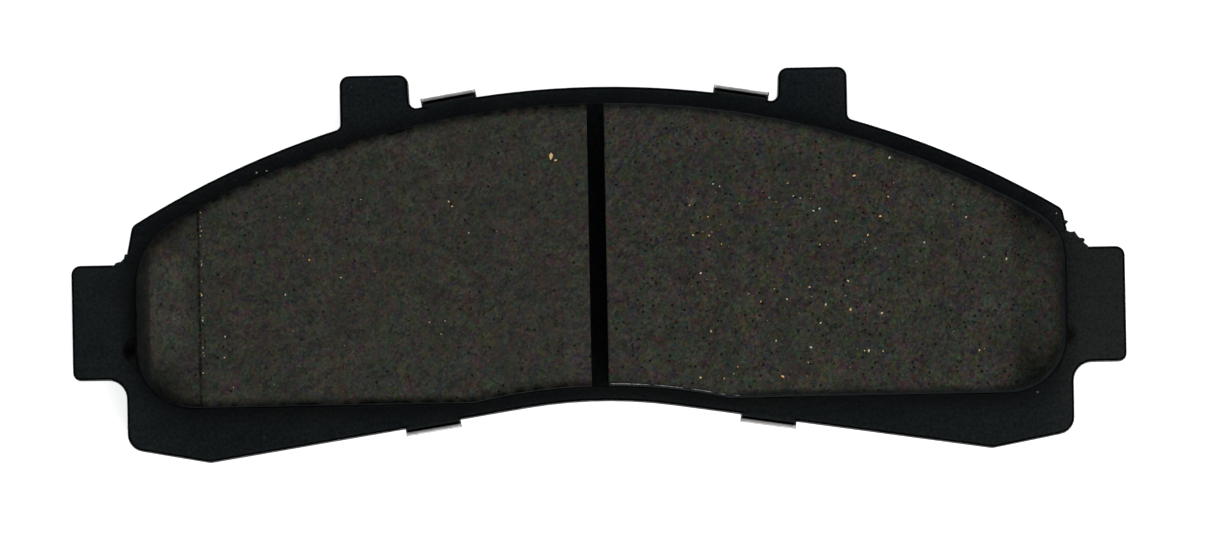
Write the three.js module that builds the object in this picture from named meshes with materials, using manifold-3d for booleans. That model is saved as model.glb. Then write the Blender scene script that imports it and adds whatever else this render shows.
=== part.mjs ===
// Disc brake pad for a light truck: a stamped steel backing plate, a moulded friction lining in two blocks on
// a common underlayer, and a laminated noise shim that clips round the plate's edges with four bent tabs.
// Millimetres. +X runs along the rotor's tangent, +Y radially outwards, +Z from the piston towards the rotor.
// The origin is below the middle of the plate's outline, on the shim's rear face: the pad lies on its shim.
import * as THREE from "three";
import { mergeVertices } from "three/addons/utils/BufferGeometryUtils.js";
import Module from "manifold-3d";

const wasm = await Module();
wasm.setup();

// ---- Driving dimensions ----

// The stack, from the shim's rear face to the rotor face.
const OUTER_RUBBER = 0.1;
const OUTER_STEEL = 0.6;
const DAMPING_RUBBER = 0.15;
const INNER_STEEL = 0.2;
const PLATE = 5.5;
const ADHESIVE = 0.1;
const UNDERLAYER = 1.9;
const FRICTION = 9;

const SHIM = OUTER_RUBBER + OUTER_STEEL + DAMPING_RUBBER + INNER_STEEL;
const DAMPING_BACK = OUTER_RUBBER + OUTER_STEEL;
const PLATE_BACK = SHIM;
const PLATE_FRONT = PLATE_BACK + PLATE;
const LINING_BACK = PLATE_FRONT + ADHESIVE;
const FRICTION_BACK = LINING_BACK + UNDERLAYER;
const ROTOR_FACE = FRICTION_BACK + FRICTION;

// The backing plate's outline, symmetric about X = 0 apart from its lugs.
const HALF_LENGTH = 90.7;
const HALF_HEIGHT = 33.1;
const CROWN_RADIUS = 153.8; // the long outer edge, and every arc that runs parallel to it
const CROWN_CENTRE = -123.37;
const BODY_HALF = 81.5;
const EAR_TOP = 1.3;
const EAR_BOTTOM = -18.6;
const SHOULDER_X = 80.1;
const SHOULDER_FOOT_X = 81.4;
const LOW_CORNER_Y = -30.45;
const HEEL_X = 67.3; // the plate's lowest points
const BELLY_APEX_Y = -22.75; // where the two lower edges would meet without their blend
const BELLY_RADIUS = 84;
const LUG_INNER_X = 31.6;
const LUG_OUTER_X = 43.7;
const LUG_SHIFT = -0.25; // both lugs sit this far along X from the plate's middle
const LUG_DRAFT = 0.25; // how far a lug's inner side leans outwards over its height
const ARC_STEP = 3.2;
const CHORD_ERROR = 0.02;

// The lands on the plate's edges that the shim's tabs grip.
const LAND_HEIGHT = 0.5;
const LAND_WIDTH = 9.6;
const TOP_LAND_ANGLE = Math.asin(25.1 / CROWN_RADIUS);
const BOTTOM_LAND_X = 28.9;
const DIE_ROLL = 0.7; // the rounded rear edge that stamping leaves

// Features in the plate's faces.
const LOCK_HOLE_RADIUS = 4.5;
const LOCK_HOLES = [
  [24, 4],
  [56, -6],
];
const PLUG_CLEARANCE = 0.15;
const PLUG_RECESS = 0.5;
const DIMPLE_RADIUS = 2.6;
const DIMPLE_DEPTH = 1.5;
const DIMPLE = [79.7, -13.6];

// The lining.
const LINING_X = 0.35; // its middle
const LINING_HALF = 79.8;
const LINING_MARGIN = 3.2; // from the plate's long outer edge
const LINING_BOTTOM = -23.65;
const LINING_APEX = -21.2; // the middle of its lower edge, which arches over the hub
const LINING_BELLY_RADIUS = 100;
const LINING_TOP_CORNERS = { left: 12.5, right: 8.5 };
const LINING_BOTTOM_CORNER = 10;
const ADHESIVE_SPREAD = 0.5;
const SLOT_WIDTH = 2.8;

// Each friction block's side view, from the rotor face to its end wall, as distances outwards from X = 0 and
// heights above the underlayer. The left end breaks over a shoulder, the right end is one plain chamfer.
const LEFT_END = [
  [68.1, FRICTION],
  [77, 5],
  [79.45, 2.2],
];
const RIGHT_END = [
  [71.2, FRICTION],
  [80.15, 4.8],
];

// The shim.
const SHIM_MARGIN = 1.4;
const SHIM_HALF = 77.5;
const SHIM_CORNER = 5;
const TAB_WIDTH = 9.6;
const TAB_PAST_FRONT = 0.15;
const BEND_RADIUS = 0.8; // the inside of a tab's bend
const TAB_GAP = 0.15; // between a tab's upright leg and the plate's land
const TAB_ROOT = 3.5; // how far a tab's strip runs into the sheet

// ---- Materials ----

const metal = (color, roughness) =>
  new THREE.MeshStandardMaterial({ color, roughness, metalness: 1 });
const solid = (color, roughness) =>
  new THREE.MeshStandardMaterial({ color, roughness, metalness: 0 });
const PAINT = solid(0x16181a, 0.45);
const FRICTION_MIX = solid(0x322f2b, 0.9);
const UNDERLAYER_MIX = solid(0x2a2622, 0.95);
const GLUE = solid(0x0c0c0d, 0.6);
const STEEL = metal(0xb4b2ae, 0.35);
const RUBBER = solid(0x101112, 0.8);

// ---- Outlines ----

const point = (x, y, r = 0) => ({ x, y, r });
const flip = (p) => point(-p.x, p.y, p.r);

// A right-hand half outline, from the bottom middle to the top middle, joined to a left-hand half that is
// given as its mirror image.
const mirrored = (right, left = right) => [
  ...right,
  ...left.filter((p) => p.x !== 0).map(flip).reverse(),
];

// The outer edge's height above y = 0 at x, on the arc of the given radius.
const crown = (x, radius = CROWN_RADIUS) => Math.sqrt(radius ** 2 - x ** 2) + CROWN_CENTRE;

// Points along the crown arc between two x values, ends left out.
function crownPoints(from, to, radius = CROWN_RADIUS, step = ARC_STEP) {
  const count = Math.max(1, Math.round(Math.abs(to - from) / step));
  const points = [];
  for (let i = 1; i < count; i++) {
    const x = from + ((to - from) * i) / count;
    points.push(point(x, crown(x, radius)));
  }
  return points;
}

// A closed three.js shape through the points, with each corner blended by its radius r.
function roundedShape(points) {
  const shape = new THREE.Shape();
  points.forEach((p, i) => {
    const before = points.at(i - 1);
    const after = points[(i + 1) % points.length];
    const u = new THREE.Vector2(before.x - p.x, before.y - p.y).normalize();
    const v = new THREE.Vector2(after.x - p.x, after.y - p.y).normalize();
    const corner = Math.acos(THREE.MathUtils.clamp(u.dot(v), -1, 1));
    const reach = p.r / Math.tan(corner / 2);
    const stepTurn = p.r ? 2 * Math.acos(1 - CHORD_ERROR / p.r) : 1;
    const steps = p.r ? Math.ceil((Math.PI - corner) / stepTurn) : 0;
    const centre = u.clone().add(v).normalize().multiplyScalar(p.r / Math.sin(corner / 2));
    const from = u.clone().multiplyScalar(reach).sub(centre);
    const turn = (Math.PI - corner) * Math.sign(v.cross(u) || 1);
    for (let k = 0; k <= steps; k++) {
      const spoke = from.clone().rotateAround(new THREE.Vector2(), (turn * k) / Math.max(1, steps));
      const x = p.r ? p.x + centre.x + spoke.x : p.x;
      const y = p.r ? p.y + centre.y + spoke.y : p.y;
      if (i === 0 && k === 0) shape.moveTo(x, y);
      else shape.lineTo(x, y);
    }
  });
  return shape;
}

// Where the plate's lower edge is, and how it leans: it falls from the apex to the heel.
const bellySlope = (-HALF_HEIGHT - BELLY_APEX_Y) / HEEL_X;
const BELLY_ANGLE = Math.atan(bellySlope);
const bellyY = (x) => BELLY_APEX_Y + bellySlope * x;

// The plate's right half, anticlockwise from the bottom middle, with its lug moved outwards by lugShift.
function plateHalf(lugShift) {
  const lugInner = LUG_INNER_X + lugShift;
  const lugOuter = LUG_OUTER_X + lugShift;
  const lower = (along, out) =>
    point(
      BOTTOM_LAND_X + along * Math.cos(BELLY_ANGLE) + out * Math.sin(BELLY_ANGLE),
      bellyY(BOTTOM_LAND_X) + along * Math.sin(BELLY_ANGLE) - out * Math.cos(BELLY_ANGLE),
    );
  const halfLand = LAND_WIDTH / 2;
  const landTurn = halfLand / CROWN_RADIUS;
  const upper = (turn, out) =>
    point(
      (CROWN_RADIUS + out) * Math.sin(TOP_LAND_ANGLE + turn),
      (CROWN_RADIUS + out) * Math.cos(TOP_LAND_ANGLE + turn) + CROWN_CENTRE,
    );
  return [
    point(0, BELLY_APEX_Y, BELLY_RADIUS),
    lower(-halfLand, 0),
    lower(-halfLand, LAND_HEIGHT),
    lower(halfLand, LAND_HEIGHT),
    lower(halfLand, 0),
    point(HEEL_X, -HALF_HEIGHT, 1),
    point(BODY_HALF, LOW_CORNER_Y, 3),
    point(BODY_HALF, EAR_BOTTOM, 3.2),
    point(HALF_LENGTH, EAR_BOTTOM, 1.4),
    point(HALF_LENGTH, EAR_TOP, 1.6),
    point(SHOULDER_FOOT_X, EAR_TOP, 2.2),
    point(SHOULDER_X, crown(SHOULDER_X), 1.6),
    ...crownPoints(SHOULDER_X, lugOuter),
    point(lugOuter, crown(lugOuter), 1),
    point(lugOuter, HALF_HEIGHT, 1.7),
    point(lugInner + LUG_DRAFT, HALF_HEIGHT, 1.7),
    point(lugInner, crown(lugInner), 1.1),
    upper(landTurn, 0),
    upper(landTurn, LAND_HEIGHT),
    upper(-landTurn, LAND_HEIGHT),
    upper(-landTurn, 0),
    ...crownPoints(upper(-landTurn, 0).x, 0),
    point(0, crown(0)),
  ];
}

// The lining's footprint, grown outwards by spread.
function liningOutline(spread = 0) {
  const left = -LINING_HALF - spread;
  const right = LINING_HALF + spread;
  const radius = CROWN_RADIUS - LINING_MARGIN + spread;
  const bottom = LINING_BOTTOM - spread;
  const bellyRadius = LINING_BELLY_RADIUS - spread;
  const bellyCentre = LINING_APEX - LINING_BELLY_RADIUS;
  const kink = Math.sqrt(bellyRadius ** 2 - (bottom - bellyCentre) ** 2);
  const belly = [];
  const bellySteps = 12;
  for (let i = 0; i <= bellySteps; i++) {
    const x = -kink + (2 * kink * i) / bellySteps;
    belly.push(point(x, Math.sqrt(bellyRadius ** 2 - x ** 2) + bellyCentre));
  }
  const cornerStep = 8; // longer than the top corners' blends reach along the arc
  const outline = [
    ...belly,
    point(right, bottom, LINING_BOTTOM_CORNER + spread),
    point(right, crown(right, radius), LINING_TOP_CORNERS.right + spread),
    ...crownPoints(right, left, radius, cornerStep),
    point(left, crown(left, radius), LINING_TOP_CORNERS.left + spread),
    point(left, bottom, LINING_BOTTOM_CORNER + spread),
  ];
  return outline.map((p) => point(p.x + LINING_X, p.y, p.r));
}

// The flat part of the shim, inside the plate's body.
function shimHalf() {
  const radius = CROWN_RADIUS - SHIM_MARGIN;
  const lift = SHIM_MARGIN / Math.cos(BELLY_ANGLE);
  const heelSlope = (LOW_CORNER_Y + HALF_HEIGHT) / (BODY_HALF - HEEL_X);
  return [
    point(0, BELLY_APEX_Y + lift, BELLY_RADIUS),
    point(HEEL_X, -HALF_HEIGHT + lift, 1),
    point(SHIM_HALF, -HALF_HEIGHT + lift + heelSlope * (SHIM_HALF - HEEL_X), SHIM_CORNER),
    point(SHIM_HALF, crown(SHIM_HALF, radius), SHIM_CORNER),
    ...crownPoints(SHIM_HALF - ARC_STEP, 0, radius),
    point(0, crown(0, radius)),
  ];
}

const circle = (x, y, radius) =>
  new THREE.Shape().absarc(x, y, radius, 0, 2 * Math.PI, false);
const bothSides = (places) => places.flatMap(([x, y]) => [[x, y], [-x, y]]);

// ---- Solids ----

// A closed three.js geometry as a manifold-3d solid, with its shared vertices merged.
function toSolid(geometry) {
  const bare = geometry.clone();
  bare.deleteAttribute("normal");
  bare.deleteAttribute("uv");
  const merged = mergeVertices(bare, 1e-4);
  return new wasm.Manifold(
    new wasm.Mesh({
      numProp: 3,
      vertProperties: new Float32Array(merged.attributes.position.array),
      triVerts: new Uint32Array(merged.index.array),
    }),
  );
}

function toGeometry(manifold) {
  const mesh = manifold.getMesh();
  const geometry = new THREE.BufferGeometry();
  geometry.setAttribute("position", new THREE.BufferAttribute(mesh.vertProperties, 3));
  geometry.setIndex(new THREE.BufferAttribute(mesh.triVerts, 1));
  return geometry;
}

// A shape extruded along +Z from one height to another.
function slab(shape, from, to, holes = []) {
  const cut = shape.clone();
  cut.holes.push(...holes);
  const options = { depth: to - from, bevelEnabled: false, curveSegments: 16 };
  return toSolid(new THREE.ExtrudeGeometry(cut, options).translate(0, 0, from));
}

// A slab whose rim is rounded inwards at both faces by the roll.
function rolledSlab(shape, from, to, roll, holes = []) {
  const cut = shape.clone();
  cut.holes.push(...holes);
  const options = {
    depth: to - from - 2 * roll,
    bevelThickness: roll,
    bevelSize: roll,
    bevelOffset: -roll,
    bevelSegments: 2,
    curveSegments: 16,
  };
  return toSolid(new THREE.ExtrudeGeometry(cut, options).translate(0, 0, from + roll));
}

function mesh(name, manifold, material) {
  const made = new THREE.Mesh(toGeometry(manifold), material);
  made.name = name;
  return made;
}

// The plate is rolled over at its rear edge and square at its front edge, with lock holes and two dimples.
function backingPlate() {
  const outline = roundedShape(mirrored(plateHalf(LUG_SHIFT), plateHalf(-LUG_SHIFT)));
  const lockHoles = () => bothSides(LOCK_HOLES).map(([x, y]) => circle(x, y, LOCK_HOLE_RADIUS));
  const middle = (PLATE_BACK + PLATE_FRONT) / 2;
  const rear = rolledSlab(outline, PLATE_BACK, PLATE_FRONT, DIE_ROLL, lockHoles());
  const front = slab(outline, middle, PLATE_FRONT, lockHoles());
  let plate = rear.add(front);
  for (const [x, y] of bothSides([DIMPLE])) {
    plate = plate.subtract(
      slab(circle(x, y, DIMPLE_RADIUS), PLATE_FRONT - DIMPLE_DEPTH, PLATE_FRONT + 1),
    );
  }
  return plate;
}

function adhesiveFilm() {
  const holes = bothSides(LOCK_HOLES).map(([x, y]) => circle(x, y, LOCK_HOLE_RADIUS));
  return slab(roundedShape(liningOutline(ADHESIVE_SPREAD)), PLATE_FRONT, LINING_BACK, holes);
}

// The underlayer, with the plugs that flowed into the plate's lock holes when it was moulded.
function underlayer() {
  let layer = slab(roundedShape(liningOutline()), LINING_BACK, FRICTION_BACK);
  for (const [x, y] of bothSides(LOCK_HOLES)) {
    const plug = circle(x, y, LOCK_HOLE_RADIUS - PLUG_CLEARANCE);
    layer = layer.add(slab(plug, PLATE_BACK + PLUG_RECESS, (LINING_BACK + FRICTION_BACK) / 2));
  }
  return layer;
}

// One friction block: the lining's footprint, kept where the side profile covers it. side is 1 or -1.
function frictionBlock(end, side) {
  const over = 1; // how far the profile runs past the block
  const height = (above) => FRICTION_BACK + above;
  const [endX, endHeight] = end.at(-1);
  const farX = LINING_HALF + Math.abs(LINING_X) + over;
  const profile = [
    [SLOT_WIDTH / 2, height(-over)],
    [farX, height(-over)],
    [farX, height(endHeight)],
    [endX, height(endHeight)],
    ...end.slice(0, -1).reverse().map(([x, above]) => [x, height(above)]),
    [end[0][0] - over, height(FRICTION + over)],
    [SLOT_WIDTH / 2, height(FRICTION + over)],
  ];
  const shape = new THREE.Shape(profile.map(([x, z]) => new THREE.Vector2(side * x, z)));
  const options = { depth: 4 * HALF_HEIGHT, bevelEnabled: false };
  const across = new THREE.ExtrudeGeometry(shape, options)
    .rotateX(Math.PI / 2)
    .translate(0, 2 * HALF_HEIGHT, 0);
  const footprint = slab(roundedShape(liningOutline()), FRICTION_BACK, ROTOR_FACE);
  return footprint.intersect(toSolid(across));
}

// The side view of a tab, with x outwards from its bend's centre and y up: the strip in the sheet, the bend
// and the upright leg.
function tabProfile() {
  const top = PLATE_FRONT + TAB_PAST_FRONT;
  const outerRadius = BEND_RADIUS + OUTER_STEEL;
  const bendZ = OUTER_RUBBER + outerRadius;
  const shape = new THREE.Shape();
  shape.moveTo(-TAB_ROOT, OUTER_RUBBER);
  shape.lineTo(0, OUTER_RUBBER);
  const steps = 6;
  const arc = (radius, turn) => [radius * Math.sin(turn), bendZ - radius * Math.cos(turn)];
  for (let i = 1; i <= steps; i++) {
    shape.lineTo(...arc(outerRadius, ((Math.PI / 2) * i) / steps));
  }
  shape.lineTo(outerRadius, top);
  shape.lineTo(BEND_RADIUS, top);
  for (let i = steps; i >= 1; i--) {
    shape.lineTo(...arc(BEND_RADIUS, ((Math.PI / 2) * i) / steps));
  }
  shape.lineTo(0, bendZ - BEND_RADIUS);
  shape.lineTo(-TAB_ROOT, bendZ - BEND_RADIUS);
  return shape;
}

// Where the four tabs stand: the middle of each land's face, and the way it faces in the XY plane.
function tabPlaces() {
  const reach = CROWN_RADIUS + LAND_HEIGHT;
  const places = [];
  for (const side of [1, -1]) {
    const out = Math.PI / 2 - side * TOP_LAND_ANGLE;
    places.push({ x: reach * Math.cos(out), y: reach * Math.sin(out) + CROWN_CENTRE, out });
    const down = -Math.PI / 2 + side * BELLY_ANGLE;
    places.push({
      x: side * BOTTOM_LAND_X + LAND_HEIGHT * Math.cos(down),
      y: bellyY(BOTTOM_LAND_X) + LAND_HEIGHT * Math.sin(down),
      out: down,
    });
  }
  return places;
}

// A flat layer of the shim, between two heights.
const shimSheet = (from, to) => slab(roundedShape(mirrored(shimHalf())), from, to);

// The shim's outer steel, whose four tabs are bent up round the plate's edges.
function shimOuterSteel() {
  let steel = shimSheet(OUTER_RUBBER, OUTER_RUBBER + OUTER_STEEL);
  const options = { depth: TAB_WIDTH, bevelEnabled: false };
  for (const { x, y, out } of tabPlaces()) {
    const strip = new THREE.ExtrudeGeometry(tabProfile(), options)
      .translate(TAB_GAP - BEND_RADIUS, 0, -TAB_WIDTH / 2)
      .rotateX(Math.PI / 2)
      .rotateZ(out)
      .translate(x, y, 0);
    steel = steel.add(toSolid(strip));
  }
  return steel;
}

const pad = new THREE.Group();
pad.add(
  mesh("backing_plate", backingPlate(), PAINT),
  mesh("adhesive_film", adhesiveFilm(), GLUE),
  mesh("underlayer", underlayer(), UNDERLAYER_MIX),
  mesh("friction_block_left", frictionBlock(LEFT_END, -1), FRICTION_MIX),
  mesh("friction_block_right", frictionBlock(RIGHT_END, 1), FRICTION_MIX),
  mesh("shim_inner_steel", shimSheet(PLATE_BACK - INNER_STEEL, PLATE_BACK), STEEL),
  mesh("shim_damping_rubber", shimSheet(DAMPING_BACK, PLATE_BACK - INNER_STEEL), RUBBER),
  mesh("shim_outer_steel", shimOuterSteel(), STEEL),
  mesh("shim_outer_rubber", shimSheet(0, OUTER_RUBBER), RUBBER),
);

export default pad;
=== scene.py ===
import itertools
import math
import random

import bmesh
import bpy
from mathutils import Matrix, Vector, geometry, kdtree, noise

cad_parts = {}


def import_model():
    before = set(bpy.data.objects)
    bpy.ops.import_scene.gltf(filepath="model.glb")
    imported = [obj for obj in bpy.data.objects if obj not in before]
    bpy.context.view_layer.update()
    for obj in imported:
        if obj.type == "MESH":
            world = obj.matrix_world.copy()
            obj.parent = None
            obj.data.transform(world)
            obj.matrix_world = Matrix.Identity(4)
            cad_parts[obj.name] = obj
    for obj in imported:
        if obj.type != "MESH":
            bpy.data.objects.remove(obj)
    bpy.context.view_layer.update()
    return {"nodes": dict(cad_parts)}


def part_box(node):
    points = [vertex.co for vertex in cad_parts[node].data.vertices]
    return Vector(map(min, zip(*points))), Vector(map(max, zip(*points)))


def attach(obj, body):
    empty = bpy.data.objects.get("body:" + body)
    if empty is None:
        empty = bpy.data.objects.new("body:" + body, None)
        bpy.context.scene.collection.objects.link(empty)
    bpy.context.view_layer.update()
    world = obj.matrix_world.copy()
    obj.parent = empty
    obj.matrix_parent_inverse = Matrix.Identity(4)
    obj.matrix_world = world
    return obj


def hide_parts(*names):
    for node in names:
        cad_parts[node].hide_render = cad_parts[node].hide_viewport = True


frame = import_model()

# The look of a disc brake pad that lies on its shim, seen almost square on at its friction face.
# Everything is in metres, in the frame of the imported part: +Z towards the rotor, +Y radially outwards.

MM = 0.001
WELD = 0.001 * MM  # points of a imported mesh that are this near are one
CLOSE = 0.01 * MM  # places that are this near are the same
FLAT = 0.99  # a face is flat if its normal is this much along Z

# ---- Where things are, from the frame ----

PLATE_BACK, PLATE_FRONT = (corner.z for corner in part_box("backing_plate"))
FILM_BACK, LINING_BACK = (corner.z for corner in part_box("adhesive_film"))
PLUG_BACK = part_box("underlayer")[0].z
LEFT_LOW, LEFT_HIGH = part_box("friction_block_left")
RIGHT_LOW, RIGHT_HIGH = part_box("friction_block_right")
FRICTION_BACK, ROTOR_FACE = LEFT_LOW.z, LEFT_HIGH.z

# ---- Outlines ----


def outlines(node, height, facing):
    """The closed outlines of a node's flat faces at a height, the longest first.

    facing is 1 for faces that look up and -1 for faces that look down. The material is on an outline's left.
    """
    bm = bmesh.new()
    bm.from_mesh(frame["nodes"][node].data)
    bmesh.ops.remove_doubles(bm, verts=bm.verts, dist=WELD)
    flat = [face for face in bm.faces if face.normal.z * facing > FLAT]
    flat = [face for face in flat if abs(face.calc_center_median().z - height) < CLOSE / 2]
    inside = set(flat)
    after = {}
    for face in flat:
        for loop in face.loops:
            if not any(other.face in inside for other in loop.edge.link_loops if other.face is not face):
                start, end = loop.vert, loop.link_loop_next.vert
                if facing < 0:
                    start, end = end, start
                after[start] = end
    found = []
    while after:
        start, at = after.popitem()
        points = [start.co.xy.copy()]
        while at is not start:
            points.append(at.co.xy.copy())
            at = after.pop(at)
        found.append(points)
    bm.free()
    return sorted(found, key=perimeter, reverse=True)


def pairs(points):
    return zip(points, points[1:] + points[:1])


def perimeter(points):
    return sum((b - a).length for a, b in pairs(points))


def resampled(points, step):
    """The same outline with no stretch longer than step."""
    made = []
    for a, b in pairs(points):
        parts = max(1, math.ceil((b - a).length / step))
        made.extend(a.lerp(b, i / parts) for i in range(parts))
    return made


def inward(points):
    """For each point of an outline, the step that moves it one unit square to both of its sides, inwards."""
    steps = []
    for before, at, after in zip(points[-1:] + points[:-1], points, points[1:] + points[:1]):
        a = (at - before).normalized()
        b = (after - at).normalized()
        middle = (a + b).normalized()
        steps.append(Vector((-middle.y, middle.x)) / max(0.5, middle.dot(a)))
    return steps


def tree_of(points):
    """A tree that finds the nearest of some flat points."""
    tree = kdtree.KDTree(len(points))
    for i, point in enumerate(points):
        tree.insert((point.x, point.y, 0), i)
    tree.balance()
    return tree


class Rim:
    """An outline that can be moved into the material without crossing itself at small corners."""

    DENSE = 0.1 * MM
    LEAST_REACH = 0.96  # a point has crossed over if it is nearer the outline than this share of its move

    def __init__(self, points):
        self.points = points
        self.steps = inward(points)
        self.tree = tree_of(resampled(points, self.DENSE))

    def moved(self, inset):
        """The outline moved by inset. Points that come too near another stretch spread out evenly."""
        made = [point + step * inset for point, step in zip(self.points, self.steps)]
        if inset <= 0:
            return made
        good = [self.tree.find((at.x, at.y, 0))[2] > self.LEAST_REACH * inset for at in made]
        count = len(made)
        start = good.index(True)
        last = start
        for i in range(start + 1, start + count + 1):
            if good[i % count]:
                for k in range(last + 1, i):
                    share = (k - last) / (i - last)
                    made[k % count] = made[last % count].lerp(made[i % count], share)
                last = i
        return made


# ---- Mesh helpers ----


def wall(bm, low, high):
    """Faces between two rings with the same number of vertices."""
    count = len(low)
    for i in range(count):
        j = (i + 1) % count
        bm.faces.new((low[i], low[j], high[j], high[i]))


def swept(bm, points, profile, wobble=None):
    """Rings of faces round an outline. The profile lists (inset, height); gives the rings' vertices."""
    rim = Rim(points)
    rings = []
    for inset, height in profile:
        ring = []
        for at, point, step in zip(rim.moved(inset), points, rim.steps):
            if wobble:
                at = at + step * wobble(point, height)
            ring.append(bm.verts.new((at.x, at.y, height)))
        rings.append(ring)
    for low, high in zip(rings, rings[1:]):
        wall(bm, low, high)
    return rings


def encloses(ring, at):
    """Whether a ring of vertices goes round a point, seen along Z."""
    crossings = 0
    for a, b in pairs(ring):
        if (a.co.y > at.y) != (b.co.y > at.y):
            x = a.co.x + (at.y - a.co.y) / (b.co.y - a.co.y) * (b.co.x - a.co.x)
            crossings += x > at.x
    return crossings % 2 == 1


def capped(bm, outer, *holes):
    """Flat triangles over the first ring, with the others as holes in them."""
    verts = []
    edges = []
    for ring in (outer, *holes):
        start = len(verts)
        count = len(ring)
        edges.extend((start + i, start + (i + 1) % count) for i in range(count))
        verts.extend(ring)
    inside_edges = 1
    touching = 0.0001 * MM
    found = geometry.delaunay_2d_cdt([v.co.xy for v in verts], edges, [], inside_edges, touching)
    points, triangles, origins = found[0], found[2], found[3]
    # A point with no origin is where two stretches of a ring just touch.
    merged = []
    for point, origin in zip(points, origins):
        merged.append(verts[origin[0]] if origin else bm.verts.new((point.x, point.y, outer[0].co.z)))
    for triangle in triangles:
        corners = [merged[i] for i in triangle]
        middle = sum((v.co for v in corners), Vector()) / 3
        if not any(encloses(hole, middle) for hole in holes):
            bm.faces.new(corners)


def quarter(inset, height, radius, side, steps):
    """Profile points round a corner between a wall at inset and a flat at height.

    side is 1 where the flat is the wall's top, and -1 where it is its bottom and comes first.
    """
    points = []
    for i in range(steps + 1):
        turn = math.pi / 2 * i / steps
        across = radius * (1 - math.cos(turn))
        down = side * radius * (1 - math.sin(turn))
        points.append((inset + across, height - down))
    return points[::side]


def closed(bm, ring, centre_height):
    """A fan of faces from a ring to a point in its middle."""
    middle = sum((v.co for v in ring), Vector()) / len(ring)
    middle.z = centre_height
    tip = bm.verts.new(middle)
    for a, b in pairs(ring):
        bm.faces.new((a, b, tip))


def placed(name, data):
    """A new object in the scene."""
    made = bpy.data.objects.new(name, data)
    bpy.context.scene.collection.objects.link(made)
    return made


def piece(name, bm, material, replaces=(), smooth=40):
    """A finished mesh that rides on the pad. An edge of more than smooth degrees stays sharp."""
    bmesh.ops.recalc_face_normals(bm, faces=bm.faces)
    mesh = bpy.data.meshes.new(name)
    bm.to_mesh(mesh)
    bm.free()
    made = placed(name, mesh)
    mesh.materials.append(material)
    for polygon in mesh.polygons:
        polygon.use_smooth = True
    mesh.set_sharp_from_angle(angle=math.radians(smooth))
    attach(made, "root")
    if replaces:
        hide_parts(*replaces)
    return made


# ---- Materials ----


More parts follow.
